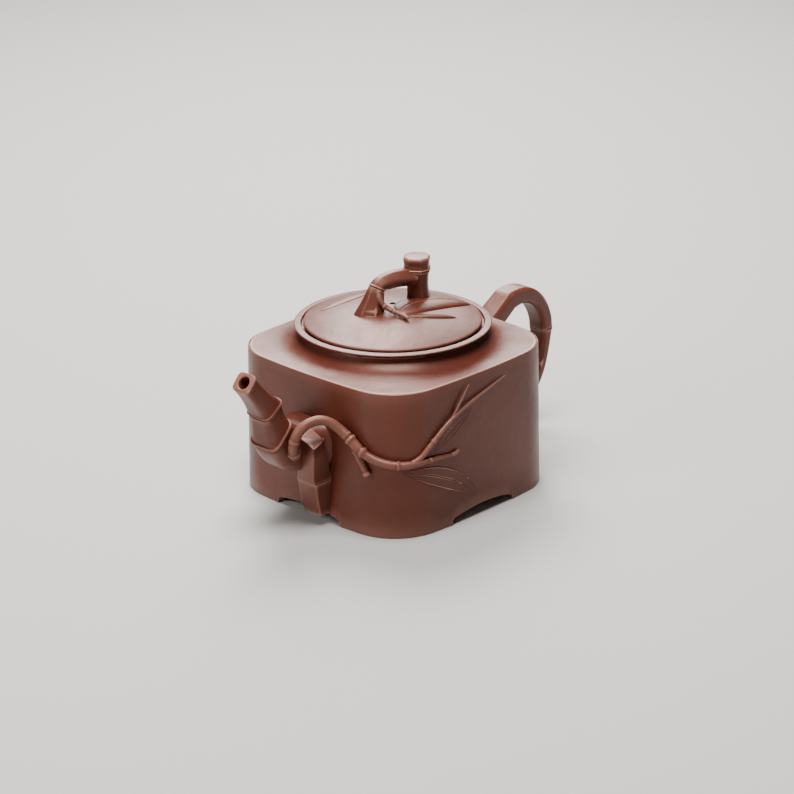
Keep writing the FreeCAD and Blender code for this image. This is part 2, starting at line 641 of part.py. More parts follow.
def make_lid_leaf(name, beds, raised, start, tip, full_side, flat_side):
    """A low leaf on the lid, in plan, as thick as the gap between two balls."""
    sketch = free_sketch(name + "_outline", Placement(Vector(0, 0, LID_LEAF_PLANE), Rotation()))
    leaf_outline(sketch, start, tip, full_side, flat_side)
    prism = doc.addObject("Part::Extrusion", name + "_prism")
    prism.Base = sketch
    prism.DirMode = "Custom"
    prism.Dir = Vector(0, 0, 1)
    prism.LengthFwd = LEAF_PUSH
    prism.Solid = True
    ball, knob = beds
    return cut(name, cut(name + "_on_lid", common(name + "_sheet", prism, raised), ball), knob)


# Points on the applied twigs, in order from root to tip.
CUT_TWIG = [(-48.6, -26.6, 36.4), (-48.6, -28.6, 32.8), (-48.4, -30.6, 29.6), (-48.0, -32.4, 26.2)]
LONG_TWIG = [(-37.5, -45.6, 31.2), (-33.4, -46.8, 33.2), (-29.0, -47.8, 37.4), (-23.4, -48.5, 41.9),
             (-15.4, -48.9, 45.8), (-4.9, -49.1, 48.8), (4.6, -49.1, 51.4), (12.6, -48.8, 54.2)]
SHORT_TWIG = [(-18.6, -48.6, 44.4), (-15.3, -48.8, 48.7), (-12.0, -48.8, 52.6), (-8.8, -48.8, 56.4)]
KNOB_TWIG = [(-8.2, -0.6, 84.0), (-9.3, -3.6, 81.6), (-8.8, -5.4, 78.6), (-7.4, -7.6, 76.6),
             (-6.2, -10.8, 75.6), (-5.2, -15.8, 74.9)]


def check(items):
    """Stop with a message if any object of the document failed or any piece is unsound."""
    for item in doc.Objects:
        if {"Invalid", "Error"} & set(item.State):
            raise RuntimeError(f"{item.Name} failed: {item.State}")
    for item in items:
        if item.Shape.isNull() or not item.Shape.isValid():
            raise RuntimeError(f"{item.Label} has no sound shape")
        if len(item.Shape.Solids) != 1:
            raise RuntimeError(f"{item.Label} has {len(item.Shape.Solids)} solids")


envelope = make_envelope("PotForm", "0")
wall_skin = make_envelope("ReliefForm", "wall_relief")
lid_ball = make_ball("LidBall", "0")
raised_ball = make_ball("RaisedBall", "lid_relief")

spout = make_spout(envelope)
branch = make_branch(envelope, spout)
pot_pieces = [make_body_wall(), make_body_floor(), make_shoulder(), make_neck_ring(), spout,
              make_strainer(), make_stump(envelope, spout.Base), make_handle(envelope), branch]
pot_pieces.append(make_twig("cut_twig", CUT_TWIG, [1.9, 1.5, 1.35, 1.45], [envelope, branch]))
long_twig = make_twig("long_twig", LONG_TWIG,
                      [f"twig_radius * {share}" for share in (0.9, 1.0, 0.95, 0.8, 0.65, 0.5, 0.4, 0.25)],
                      [envelope, branch])
short_twig = make_twig("short_twig", SHORT_TWIG, [0.5, 0.45, 0.38, 0.25], [envelope, long_twig])
pot_pieces += [long_twig, short_twig]
pot_pieces.append(make_wall_leaf("lower_leaf", envelope, wall_skin, (-40.0, 27.5), (-3.5, 9.6), 7.0, -1.8))
pot_pieces.append(make_wall_leaf("upper_leaf", envelope, wall_skin, (-27.5, 33.4), (-6.0, 46.5), 1.6, 2.2))

knob = make_knob(lid_ball)
lid_pieces = [make_lid_plate(), make_lid_flange(), knob]
lid_pieces.append(make_twig("knob_twig", KNOB_TWIG, [0.9, 0.95, 0.9, 0.95, 0.85, 0.9], [lid_ball, knob]))
for name, start, tip, full_side, flat_side in (
        ("broad_lid_leaf", (-2.2, -12.6), (31.8, -6.0), 5.0, 9.5),
        ("narrow_lid_leaf", (-2.0, -15.0), (13.0, -23.5), 1.6, 1.8),
        ("rear_lid_leaf", (3.5, 20.0), (-20.5, 20.5), 3.2, 3.6)):
    lid_pieces.append(make_lid_leaf(name, [lid_ball, knob], raised_ball, start, tip, full_side, flat_side))

doc.recompute()
for piece in pot_pieces + lid_pieces:
    piece.Label = piece.Name
check(pot_pieces + lid_pieces)

os.makedirs("parts", exist_ok=True)
stand = Placement(Vector(value("axis_x"), value("axis_y"), 0), Rotation())
turned = stand * Placement(Vector(0, 0, 0), Rotation(Vector(0, 0, 1), value("lid_turn")))
for pieces, place in ((pot_pieces, stand), (lid_pieces, turned)):
    for piece in pieces:
        piece.Placement = place * piece.Placement
        piece.Shape.exportStep(f"parts/{piece.Label}.step")
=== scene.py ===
import math
import bpy
from mathutils import Matrix, Vector


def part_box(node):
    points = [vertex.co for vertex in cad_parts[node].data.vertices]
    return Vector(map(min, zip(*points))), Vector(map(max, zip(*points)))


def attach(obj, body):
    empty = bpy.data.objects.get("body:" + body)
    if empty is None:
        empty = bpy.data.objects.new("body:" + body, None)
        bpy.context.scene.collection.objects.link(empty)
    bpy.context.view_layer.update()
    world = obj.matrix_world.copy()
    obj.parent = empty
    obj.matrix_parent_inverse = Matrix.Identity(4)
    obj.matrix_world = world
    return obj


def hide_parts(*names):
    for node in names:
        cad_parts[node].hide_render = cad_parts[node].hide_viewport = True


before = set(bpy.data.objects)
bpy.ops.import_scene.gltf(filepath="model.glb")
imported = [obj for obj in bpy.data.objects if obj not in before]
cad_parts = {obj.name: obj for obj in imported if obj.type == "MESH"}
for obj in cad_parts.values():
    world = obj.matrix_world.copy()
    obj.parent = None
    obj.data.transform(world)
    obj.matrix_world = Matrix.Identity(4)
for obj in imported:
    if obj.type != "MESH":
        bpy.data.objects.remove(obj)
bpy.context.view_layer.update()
MM = 0.001
ring_low, ring_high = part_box("neck_ring")
AXIS = Vector(((ring_low.x + ring_high.x) / 2, (ring_low.y + ring_high.y) / 2, 0))
LID_TURN = Matrix.Rotation(math.radians(-9.0), 4, "Z")

# --- materials ----------------------------------------------------------------------


def link_noise(tree, coords, scale, detail=4.0, rough=0.55):
    noise = tree.nodes.new("ShaderNodeTexNoise")
    noise.inputs["Scale"].default_value = scale
    noise.inputs["Detail"].default_value = detail
    noise.inputs["Roughness"].default_value = rough
    tree.links.new(coords, noise.inputs["Vector"])
    return noise.outputs["Fac"]


def ramp(tree, source, low, high, first, last):
    stops = tree.nodes.new("ShaderNodeMapRange")
    stops.inputs["From Min"].default_value = low
    stops.inputs["From Max"].default_value = high
    stops.inputs["To Min"].default_value = first
    stops.inputs["To Max"].default_value = last
    tree.links.new(source, stops.inputs["Value"])
    return stops.outputs["Result"]


def tint(tree, amount, first, second):
    mix = tree.nodes.new("ShaderNodeMix")
    mix.data_type = "RGBA"
    tree.links.new(amount, mix.inputs["Factor"])
    for slot, colour in (("A", first), ("B", second)):
        socket = [s for s in mix.inputs if s.name == slot and s.type == "RGBA"][0]
        if isinstance(colour, tuple):
            socket.default_value = (*colour, 1)
        else:
            tree.links.new(colour, socket)
    return [s for s in mix.outputs if s.type == "RGBA"][0]


# How fine each pattern in the clay is, in repeats per metre.
CLOUD_SCALE, POLISH_SCALE, STROKE_SCALE, GRAIN_SCALE, SAND_SCALE = 38.0, 70.0, 260.0, 900.0, 2600.0
BUMP_DEPTH = 0.00012
STROKE_SHARE = 2.2
EDGE_AMOUNT = 0.7
SHEEN_TINT = (1.0, 0.7, 0.62)


def clay(name, base, deep, pale, edge_wear_and_highlight, roughness, grain, shine, wear_highlight_limit=0.58):
    """Fired clay: cloudy colour, pale and dark sand grains, edges lightened as wear and painted highlight,
    creases darkened as painted shade, fine grain.
    """
    material = bpy.data.materials.new(name)
    material.use_nodes = True
    tree = material.node_tree
    shader = tree.nodes["Principled BSDF"]
    coords = tree.nodes.new("ShaderNodeTexCoord").outputs["Object"]
    edges = tree.nodes.new("ShaderNodeNewGeometry").outputs["Pointiness"]
    cloud = link_noise(tree, coords, CLOUD_SCALE)
    colour = tint(tree, ramp(tree, cloud, 0.3, 0.6, 0.55, 1.0), deep, base)
    fine = link_noise(tree, coords, GRAIN_SCALE, 3.0, 0.7)
    colour = tint(tree, ramp(tree, fine, 0.66, 0.74, 0.0, 0.35), colour, pale)
    colour = tint(tree, ramp(tree, fine, 0.34, 0.27, 0.0, 0.15), colour, deep)
    # Convex edges lightened: partly wear, partly a painted highlight.
    colour = tint(tree, ramp(tree, edges, 0.505, wear_highlight_limit, 0.0, EDGE_AMOUNT), colour, edge_wear_and_highlight)
    # Hollows and creases darkened towards the deep colour: painted shade.
    colour = tint(tree, ramp(tree, edges, 0.49, 0.42, 0.0, EDGE_AMOUNT), colour, deep)
    tree.links.new(colour, shader.inputs["Base Color"])
    polish = link_noise(tree, coords, POLISH_SCALE, 5.0, 0.6)
    tree.links.new(ramp(tree, polish, 0.3, 0.7, roughness - 0.06, roughness + 0.08),
                   shader.inputs["Roughness"])
    shader.inputs["Specular IOR Level"].default_value = shine
    shader.inputs["Specular Tint"].default_value = (*SHEEN_TINT, 1)
    sand = link_noise(tree, coords, SAND_SCALE, 2.0, 0.6)
    strokes = link_noise(tree, coords, STROKE_SCALE, 3.0, 0.5)
    height = tree.nodes.new("ShaderNodeMath")
    height.operation = "MULTIPLY_ADD"
    height.inputs[1].default_value = STROKE_SHARE
    tree.links.new(strokes, height.inputs[0])
    tree.links.new(sand, height.inputs[2])
    bump = tree.nodes.new("ShaderNodeBump")
    bump.inputs["Strength"].default_value = grain
    bump.inputs["Distance"].default_value = BUMP_DEPTH
    tree.links.new(height.outputs[0], bump.inputs["Height"])
    tree.links.new(bump.outputs["Normal"], shader.inputs["Normal"])
    return material


CLAY_RED = (0.092, 0.0215, 0.0125)
# Colours in order: base, deep (also the painted shade in creases), pale sand, and the edge colour (wear and
# painted highlight).
BURNISHED = clay("burnished", CLAY_RED, (0.042, 0.0105, 0.007), (0.2, 0.068, 0.04), (0.42, 0.21, 0.16),
                 0.36, 0.42, 0.42)
# The leaves drawn on the wall: the same clay, with a painted highlight brightening its raised lines.
LINED = clay("lined", CLAY_RED, (0.07, 0.02, 0.013), (0.22, 0.085, 0.055), (0.62, 0.36, 0.29),
             0.36, 0.42, 0.42, 0.535)
PLAIN = clay("plain", (0.11, 0.034, 0.021), (0.06, 0.019, 0.012), (0.22, 0.09, 0.06),
             (0.26, 0.12, 0.09), 0.6, 0.9, 0.35)

# --- mesh helpers -------------------------------------------------------------------


def piece(name, points, faces, *nodes, body="pot", sharp=32.0, material=BURNISHED):
    """A mesh from points in millimetres about the pot's axis, standing for CAD nodes."""
    data = bpy.data.meshes.new(name)
    turn = LID_TURN if body == "lid" else Matrix.Identity(4)
    data.from_pydata([AXIS + (turn @ Vector(p)) * MM for p in points], [], faces)
    data.validate()
    data.shade_smooth()
    data.set_sharp_from_angle(angle=math.radians(sharp))
    data.materials.append(material)
    thing = bpy.data.objects.new(name, data)
    bpy.context.scene.collection.objects.link(thing)
    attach(thing, body)
    if nodes:
        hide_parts(*nodes)
    return thing


def skin(rings, cap_first=True, cap_last=True):
    """Faces round a stack of rings of equal length, closed at both ends if asked."""
    points, faces = [], []
    for ring in rings:
        points += [tuple(p) for p in ring]
    count = len(rings[0])
    for level in range(len(rings) - 1):
        low, high = level * count, (level + 1) * count
        for i in range(count):
            j = (i + 1) % count
            faces.append((low + i, low + j, high + j, high + i))
    if cap_first:
        faces.append(tuple(reversed(range(count))))
    if cap_last:
        last = (len(rings) - 1) * count
        faces.append(tuple(range(last, last + count)))
    return points, faces


def joined(parts):
    """Several point and face lists as one."""
    points, faces = [], []
    for some_points, some_faces in parts:
        base = len(points)
        points += some_points
        faces += [tuple(i + base for i in face) for face in some_faces]
    return points, faces


def soften(corners, radius, steps=4):
    """A closed outline with each corner turned into a small bend."""
    result = []
    for index, corner in enumerate(corners):
        here = Vector(corner)
        back = Vector(corners[index - 1]) - here
        ahead = Vector(corners[(index + 1) % len(corners)]) - here
        cut = min(radius, 0.45 * back.length, 0.45 * ahead.length)
        start, end = here + back.normalized() * cut, here + ahead.normalized() * cut
        for step in range(steps + 1):
            t = step / steps
            result.append((1 - t) ** 2 * start + 2 * t * (1 - t) * here + t ** 2 * end)
    return result


def lathe(outline, count=192):
    """A closed outline of (radius, z) turned about the axis."""
    rings = [[(r * math.cos(2 * math.pi * i / count), r * math.sin(2 * math.pi * i / count), z)
              for i in range(count)] for r, z in outline]
    points, faces = skin(rings + [rings[0]], False, False)
    keep = len(outline) * count
    return points[:keep], [tuple(i % keep for i in face) for face in faces]


def smooth_path(values, steps):
    """Numbers in tuples, joined by a smooth curve through every one."""
    result = []
    for index in range(len(values) - 1):
        a, b = values[max(index - 1, 0)], values[index]
        c, d = values[index + 1], values[min(index + 2, len(values) - 1)]
        for step in range(steps):
            t = step / steps
            result.append(tuple(0.5 * (2 * q + (r - p) * t + (2 * p - 5 * q + 4 * r - s) * t * t
                                       + (3 * q - p - 3 * r + s) * t ** 3)
                                for p, q, r, s in zip(a, b, c, d)))
    result.append(tuple(values[-1]))
    return result


def frames_along(path):
    """A ring plane for each point of a path: centre, sideways and upward directions."""
    planes = []
    side = Vector((0, 0, 1)).cross(Vector(path[1]) - Vector(path[0])).normalized()
    for index, place in enumerate(path):
        before, after = Vector(path[max(index - 1, 0)]), Vector(path[min(index + 1, len(path) - 1)])
        heading = (after - before).normalized()
        side = (side - side.dot(heading) * heading).normalized()
        planes.append((Vector(place), side, heading.cross(side)))
    return planes


# How the last two rings of a rounded twig end shrink and move out, as shares of its radius.
ROUND_END = ((0.8, 0.5), (0.4, 0.85))
JOINT_GROOVE = 0.6


def tube(path, radii, joints=(), sides=20, steps=8, cut_end=0.0):
    """A round twig through points; joints are (share of length, swelling, half length)."""
    line = smooth_path([(*p, r) for p, r in zip(path, radii)], steps)
    centres = [Vector(p[:3]) for p in line]
    lengths = [0.0]
    for a, b in zip(centres, centres[1:]):
        lengths.append(lengths[-1] + (b - a).length)
    rings = []
    for (centre, side, up), point, run in zip(frames_along(centres), line, lengths):
        radius = point[3]
        for share, swell, reach in joints:
            away = (run - share * lengths[-1]) / reach
            groove = JOINT_GROOVE * swell * math.exp(-((away + 1.3) / 0.45) ** 2)
            radius *= 1 + swell * math.exp(-away * away) - groove
        rings.append([centre + radius * (math.cos(a) * side + math.sin(a) * up)
                      for a in (2 * math.pi * i / sides for i in range(sides))])
    end_form = ((0.86, 0.1), (0.5, 0.12 - cut_end)) if cut_end else ROUND_END
    for ends, heading in ((0, centres[0] - centres[1]), (-1, centres[-1] - centres[-2])):
        heading.normalize()
        ring, centre = rings[ends], centres[ends]
        cap = [[centre + (p - centre) * keep + heading * push * line[ends][3] for p in ring]
               for keep, push in end_form]
        rings = cap[::-1] + rings if ends == 0 else rings + cap
    return skin(rings)


CORNER_STEPS = 18


def square_ring(half, corner, bulge, stops=(1.0,)):
    """A soft square of eight arcs; stops are the places along half a side, as shares."""
    inset = bulge - half
    reach = (-2 * inset + math.sqrt(4 * inset ** 2 - 8 * (inset ** 2 - (bulge - corner) ** 2))) / 4
    lean = math.atan2(reach, inset + reach)
    side = [-s * lean for s in reversed(stops)] + [0.0] + [s * lean for s in stops]
    ring = []
    for turn in range(4):
        middle = turn * math.pi / 2
        ring += [(-inset * math.cos(middle) + bulge * math.cos(middle + a),
                  -inset * math.sin(middle) + bulge * math.sin(middle + a)) for a in side]
        centre = (reach * math.sqrt(2) * math.cos(middle + math.pi / 4),
                  reach * math.sqrt(2) * math.sin(middle + math.pi / 4))
        bend = math.pi / 2 - 2 * lean
        ring += [(centre[0] + corner * math.cos(middle + lean + bend * k / CORNER_STEPS),
                  centre[1] + corner * math.sin(middle + lean + bend * k / CORNER_STEPS))
                 for k in range(1, CORNER_STEPS)]
    return ring


# --- body ---------------------------------------------------------------------------

BASE_HALF, EDGE_HALF, EDGE_Z = 48.95, 48.0, 59.4
CORNER, BULGE, WALL = 22.0, 342.0, 3.2
ARCH_HALF, ARCH_END, ARCH_RISE = 17.5, 3.0, 4.6
EDGE_ROUND = 0.45


def arch_height(along):
    """How far the lower edge is off the ground at a distance from the middle of a side."""
    reach = abs(along)
    if reach >= ARCH_HALF:
        return 0.0
    if reach > ARCH_HALF - ARCH_END:
        return math.sqrt(max(ARCH_END ** 2 - (reach - ARCH_HALF + ARCH_END) ** 2, 0.0))
    return ARCH_END + (ARCH_RISE - ARCH_END) * (1 - (reach / (ARCH_HALF - ARCH_END)) ** 2)


def half_at(z):
    return BASE_HALF + (EDGE_HALF - BASE_HALF) * z / EDGE_Z


# Places along half a side, closest together where the arch springs from the foot.
FLAT_HALF = 26.9
SIDE_STOPS = [s / FLAT_HALF for s in (2, 4, 6, 8, 10, 12, 13.5, 14.5, 15.2, 15.8, 16.3, 16.7, 17.0, 17.25,
                                      17.42, 17.5, 17.8, 18.6, 20, 22, 24.5, FLAT_HALF)]
WALL_LEVELS, ROUND_STEPS = 12, 5


def make_wall():
    def ring(half, z_of):
        shape = square_ring(half, CORNER - (BASE_HALF - half), BULGE, SIDE_STOPS)
        return [(x, y, z_of(min(abs(x), abs(y)))) for x, y in shape]

    r = EDGE_ROUND
    rows = [(BASE_HALF - WALL, 0.0), (BASE_HALF - r, 0.0), (BASE_HALF - 0.13, 0.13), (BASE_HALF, r)]
    outer = [ring(half, lambda a, up=up: arch_height(a) + up) for half, up in rows]
    for level in range(1, WALL_LEVELS + 1):
        share = level / WALL_LEVELS
        top = EDGE_Z - r
        outer.append(ring(half_at(top * share),
                          lambda a, s=share: (arch_height(a) + r) * (1 - s) + (EDGE_Z - r) * s))
    for step in range(1, ROUND_STEPS + 1):
        a = math.pi / 2 * step / ROUND_STEPS
        outer.append(ring(EDGE_HALF - r * (1 - math.cos(a)), lambda _, a=a: EDGE_Z - r + r * math.sin(a)))
    outer.append(ring(EDGE_HALF - r - 0.05, lambda _: EDGE_Z))
    outer.append(ring(EDGE_HALF - r - 0.1, lambda _: EDGE_Z - 0.3))
    outer.append(ring(EDGE_HALF - WALL, lambda _: EDGE_Z - 3.0))
    points, faces = skin(outer + [outer[0]], False, False)
    keep = len(outer) * len(outer[0])
    return points[:keep], [tuple(i % keep for i in face) for face in faces]


piece("BodyWall", *make_wall(), "body_wall")


# The shoulder: the seam's corner, where it starts, the neck it runs up to and how far it rises.
SEAM_CORNER, SEAM_HALF, NECK, SHOULDER_RISE = CORNER - 0.6, EDGE_HALF - 0.68, 36.0, 7.2
SHOULDER_LEVELS = 40
# Its underside from the mouth of the pot outwards: radius and height.
SHOULDER_UNDER = ((33.2, 66.6), (33.2, 60.0), (34.0, 58.6), (38.0, 57.0))


def make_shoulder():
    rings = []
    for half, drop in ((EDGE_HALF - WALL - 0.2, 3.2), (EDGE_HALF - 0.9, 0.25), (EDGE_HALF - 0.62, 0.03)):
        rings.append([(x, y, EDGE_Z - drop) for x, y in square_ring(half, SEAM_CORNER, BULGE, SIDE_STOPS)])
    for level in range(1, SHOULDER_LEVELS + 1):
        t = level / SHOULDER_LEVELS
        keep = 1 - t
        shape = square_ring(keep * SEAM_HALF + t * NECK, keep * SEAM_CORNER + t * NECK - 0.0001,
                            1 / (keep / BULGE + t / NECK), SIDE_STOPS)
        rings.append([(x, y, EDGE_Z + SHOULDER_RISE * (0.25 * t + 0.75 * t ** 3)) for x, y in shape])
    count = len(rings[0])
    bearings = [math.atan2(y, x) for x, y, _ in rings[-1]]
    for radius, z in SHOULDER_UNDER:
        rings.append([(radius * math.cos(a), radius * math.sin(a), z) for a in bearings])
    points, faces = skin(rings + [rings[0]], False, False)
    keep_points = len(rings) * count
    return points[:keep_points], [tuple(i % keep_points for i in face) for face in faces]


piece("Shoulder", *make_shoulder(), "shoulder")
# The lip and the seat inside it: radius and height, from the neck's underside round to the seat.
NECK_OUTLINE = [(33.2, 66.0), (35.9, 66.4), (36.6, 67.15), (38.9, 67.65), (39.3, 68.0),
                (39.0, 68.3), (36.9, 68.6), (36.4, 68.4), (36.2, 67.4), (33.2, 67.4)]
piece("NeckRing", *lathe(soften(NECK_OUTLINE, 0.3)), "neck_ring")

# --- spout --------------------------------------------------------------------------

# Stations along the spout: x, z, lean in degrees, width and depth.
ROOT_LINE = [(-46.6, 31.4, 90.0, 30.0, 23.4), (-48.8, 31.6, 89.5, 26.0, 21.4),
             (-51.0, 31.8, 88.0, 22.8, 20.2), (-55.5, 32.3, 77.0, 18.8, 18.6),
             (-60.6, 33.2, 60.0, 16.6, 17.4), (-64.8, 36.5, 52.0, 15.5, 15.2)]
LOWER_NODE = (-67.5, 40.8, 46.8, 15.3, 13.8)
UPPER_NODE = (-70.6, 52.1, 35.9, 12.5, 10.4)
MOUTH = (-81.0, 65.2, 50.4, 9.5, 8.0)
SPOUT_SQUARENESS, ROOT_SQUARENESS = 4.4, 2.6
# A bamboo joint, as how far along and how far out; the lip; the bore, as depth and radius.
SPOUT_JOINT = ((-0.9, 0.0), (-0.45, 0.1), (-0.28, 0.02), (-0.16, -0.4), (0.03, -0.45), (0.14, -0.1),
               (0.22, 0.3), (0.38, 0.4), (0.54, 0.28), (0.8, 0.03))
SPOUT_LIP = ((-0.45, 0.0), (-0.15, -0.08), (0.0, -0.4))
SPOUT_BORE = ((0.0, 2.85), (-0.25, 2.6), (-1.0, 2.5), (-9.0, 2.5), (-14.0, 2.3))
BORE_BEND, BORE_BEND_DEPTH = Vector((1.5, 0, -0.8)), 8


def spout_ring(x, z, lean, width, depth, slide=0.0, grow=0.0, sides=48):
    lean = math.radians(lean)
    heading = Vector((-math.sin(lean), 0, math.cos(lean)))
    across = Vector((math.cos(lean), 0, math.sin(lean)))
    centre = Vector((x, 0, z)) + slide * heading
    outward = min(max((-x - 48.0) / 14.0, 0.0), 1.0)
    power = 2 / (ROOT_SQUARENESS + (SPOUT_SQUARENESS - ROOT_SQUARENESS) * outward)
    ring = []
    for i in range(sides):
        a = 2 * math.pi * (i + 0.5) / sides
        c, s = math.cos(a), math.sin(a)
        u = math.copysign(abs(c) ** power, c) * (depth / 2 + grow)
        v = math.copysign(abs(s) ** power, s) * (width / 2 + grow)
        ring.append(centre + u * across + Vector((0, v, 0)))
    return ring


def waisted(low, high, slim=1.2):
    """Stations from one joint to the next, slimmest a little past the middle."""
    line = []
    for step in range(1, 12):
        t = step / 12
        mixed = [a + (b - a) * t for a, b in zip(low, high)]
        pinch = slim * math.sin(math.pi * t ** 1.15) ** 0.8
        line.append((*mixed[:3], mixed[3] - pinch, mixed[4] - pinch))
    return line


def make_spout():
    rings = [spout_ring(*s) for s in smooth_path(ROOT_LINE + [LOWER_NODE], 5)[:-2]]
    for low, high in ((LOWER_NODE, UPPER_NODE), (UPPER_NODE, MOUTH)):
        rings += [spout_ring(*low, slide=slide, grow=grow) for slide, grow in SPOUT_JOINT]
        rings += [spout_ring(*s) for s in waisted(low, high)]
    for slide, grow in SPOUT_LIP:
        rings.append(spout_ring(*MOUTH, slide=slide, grow=grow))
    lean = math.radians(MOUTH[2])
    heading = Vector((-math.sin(lean), 0, math.cos(lean)))
    across = Vector((math.cos(lean), 0, math.sin(lean)))
    count = len(rings[0])
    for depth, radius in SPOUT_BORE:
        centre = Vector((MOUTH[0], 0, MOUTH[1])) + depth * heading
        if depth < -BORE_BEND_DEPTH:
            centre += BORE_BEND * (-depth - BORE_BEND_DEPTH) / 6
        ring = []
        for i in range(count):
            a = 2 * math.pi * (i + 0.5) / count
            ring.append(centre + radius * math.cos(a) * across + Vector((0, radius * math.sin(a), 0)))
        rings.append(ring)
    return skin(rings)


piece("Spout", *make_spout(), "spout")

# --- octagonal bamboo ---------------------------------------------------------------


def cut_ring(place, heading, width, depth, facet, soft):
    """A rectangle with cut and softened corners across a heading in the XZ plane."""
    heading = Vector(heading).normalized()
    across = Vector((heading.z, 0, -heading.x))
    w, d, f = width / 2, depth / 2, facet
    corners = [(-d, f - w), (f - d, -w), (d - f, -w), (d, f - w),
               (d, w - f), (d - f, w), (f - d, w), (-d, w - f)]
    return [Vector(place) + u * across + Vector((0, v, 0)) for u, v in soften(corners, soft)]


def culm(line, facet_share=None, facet=None, soft=0.5, steps=5, ends=(0.0, 0.0)):
    """Stations (x, y, z, hx, hz, width, depth) as one solid; rounded ends shrink by ends."""
    stations = smooth_path(line, steps)
    rings = []
    for x, y, z, hx, hz, width, depth in stations:
        cut = facet if facet else facet_share * width
        rings.append(cut_ring((x, y, z), (hx, 0, hz), width, depth, cut, soft))
    for end, reach in zip((0, -1), ends):
        if reach:
            x, y, z, hx, hz, width, depth = stations[end]
            heading = Vector((hx, 0, hz)).normalized() * (1 if end else -1)
            extra = []
            for k in range(1, 4):
                a = math.pi / 2 * k / 3
                push, shrink = reach * math.sin(a), 2 * reach * (1 - math.cos(a))
                cut = facet if facet else facet_share * (width - shrink)
                extra.append(cut_ring(Vector((x, y, z)) + heading * push, (hx, 0, hz),
                                      width - shrink, depth - shrink, cut, soft))
            rings = rings + extra if end else extra[::-1] + rings
    return skin(rings)


def headed(line):
    """Stations (x, z, wide, thick) given a heading from their neighbours."""
    result = []
    for index, (x, z, wide, thick) in enumerate(line):
        a, b = line[max(index - 1, 0)], line[min(index + 1, len(line) - 1)]
        length = math.hypot(b[0] - a[0], b[1] - a[1])
        result.append((x, 0, z, (b[0] - a[0]) / length, (b[1] - a[1]) / length, wide, thick))
    return result


# --- handle -------------------------------------------------------------------------

# Stations along the handle: x, z, width and thickness.
EAR_STEM = [(46.4, 45.9, 14.6, 12.6), (48.8, 47.6, 13.0, 10.6), (51.5, 49.6, 11.8, 9.2),
            (57.0, 53.4, 10.9, 8.4), (62.5, 57.1, 10.4, 8.2), (66.0, 59.5, 10.2, 8.15)]
EAR_BOW = [(66.9, 60.0, 10.2, 8.1), (72.8, 60.5, 10.2, 7.2), (78.0, 59.2, 10.1, 6.7), (82.8, 56.0, 10.0, 6.5),
           (86.3, 51.4, 9.9, 6.6), (88.3, 46.6, 9.8, 6.6), (88.9, 42.3, 9.8, 6.4)]
EAR_TAIL = [(88.9, 41.0, 9.5, 6.0), (88.5, 36.0, 9.1, 5.3), (87.2, 30.0, 9.0, 5.1), (84.8, 23.8, 9.1, 5.2),
            (80.4, 18.2, 9.4, 5.5), (72.2, 14.3, 9.8, 5.9), (60.2, 12.8, 10.4, 6.7), (52.5, 12.6, 11.2, 7.6),
            (49.0, 12.5, 12.8, 9.4), (46.6, 12.5, 15.0, 12.0)]


EAR_CREASE = (0.92, 0.39)
# The handle's joint, grooved round: x, y, z, heading down, width and thickness.
EAR_JOINT = [(88.95, 0, 42.3, 0, -1, 9.8, 6.4), (88.95, 0, 42.1, 0, -1, 9.3, 5.9),
             (88.95, 0, 41.85, 0, -1, 9.3, 5.9), (88.95, 0, 41.7, 0, -1, 9.8, 6.4),
             (88.95, 0, 41.3, 0, -1, 9.8, 6.35), (88.9, 0, 40.9, 0, -1, 9.5, 6.1)]
EAR_FACET, TAIL_FACET = 1.5, 1.4


def make_handle():
    bow = headed(EAR_BOW)
    x, y, z, _, _, wide, thick = bow[0]
    bow[0] = (x, y, z, *EAR_CREASE, wide, thick)
    stem = headed(EAR_STEM) + [bow[0]]
    return joined([culm(stem, facet=EAR_FACET, soft=0.55, steps=4),
                   culm(bow, facet=EAR_FACET, soft=0.55, steps=6),
                   culm(EAR_JOINT, facet=TAIL_FACET, soft=0.4, steps=2),
                   culm(headed(EAR_TAIL), facet=TAIL_FACET, soft=0.5, steps=6)])


piece("Handle", *make_handle(), "handle")

# --- stump, branch and twigs --------------------------------------------------------

# Stations up the stump: x, y, z, depth and width.
STUMP_LOW = [(-50.0, -7.2, 4.9, 7.2, 9.6), (-50.9, -7.4, 12.0, 9.0, 10.0), (-51.6, -7.9, 18.9, 10.4, 10.4)]
STUMP_HIGH = [(-52.6, -8.3, 19.7, 10.6, 9.6), (-53.6, -8.8, 22.0, 9.6, 9.0), (-55.2, -10.2, 29.0, 8.2, 8.2),
              (-56.9, -11.5, 42.0, 5.6, 7.6)]


# The slanted top: a point on it, and how much it rises with x and with y.
STUMP_TOP, STUMP_RISE = (-56.9, -11.6, 38.1), (0.37, 0.38)


def make_stump():
    def plane(x, y):
        return STUMP_TOP[2] + STUMP_RISE[0] * (x - STUMP_TOP[0]) + STUMP_RISE[1] * (y - STUMP_TOP[1])

    parts = []
    for line in (STUMP_LOW, STUMP_HIGH):
        rings = []
        for x, y, z, depth, width in smooth_path(line, 6):
            ring = [Vector((x + u, y + v, z)) for u, v in soften(
                [(-depth / 2, -width / 2), (depth / 2, -width / 2), (depth / 2, width / 2),
                 (-depth / 2, width / 2)], 0.9)]
            rings.append([Vector((p.x, p.y, min(p.z, plane(p.x, p.y) - 0.25))) for p in ring])
        if line is STUMP_HIGH:
            top = rings[-1]
            middle = sum(top, Vector()) / len(top)
            for keep, lift in ((0.97, 0.15), (0.92, 0.24), (0.86, 0.25), (0.5, 0.25)):
                rings.append([middle + (p - middle) * keep + Vector((0, 0, lift)) for p in top])
            foot = rings[0]
            middle = sum(foot, Vector()) / len(foot)
            rings.insert(0, [middle + (p - middle) * 0.9 - Vector((0, 0, 0.7)) for p in foot])
        parts.append(skin(rings))
    return joined(parts)


piece("Stump", *make_stump(), "stump", sharp=40)

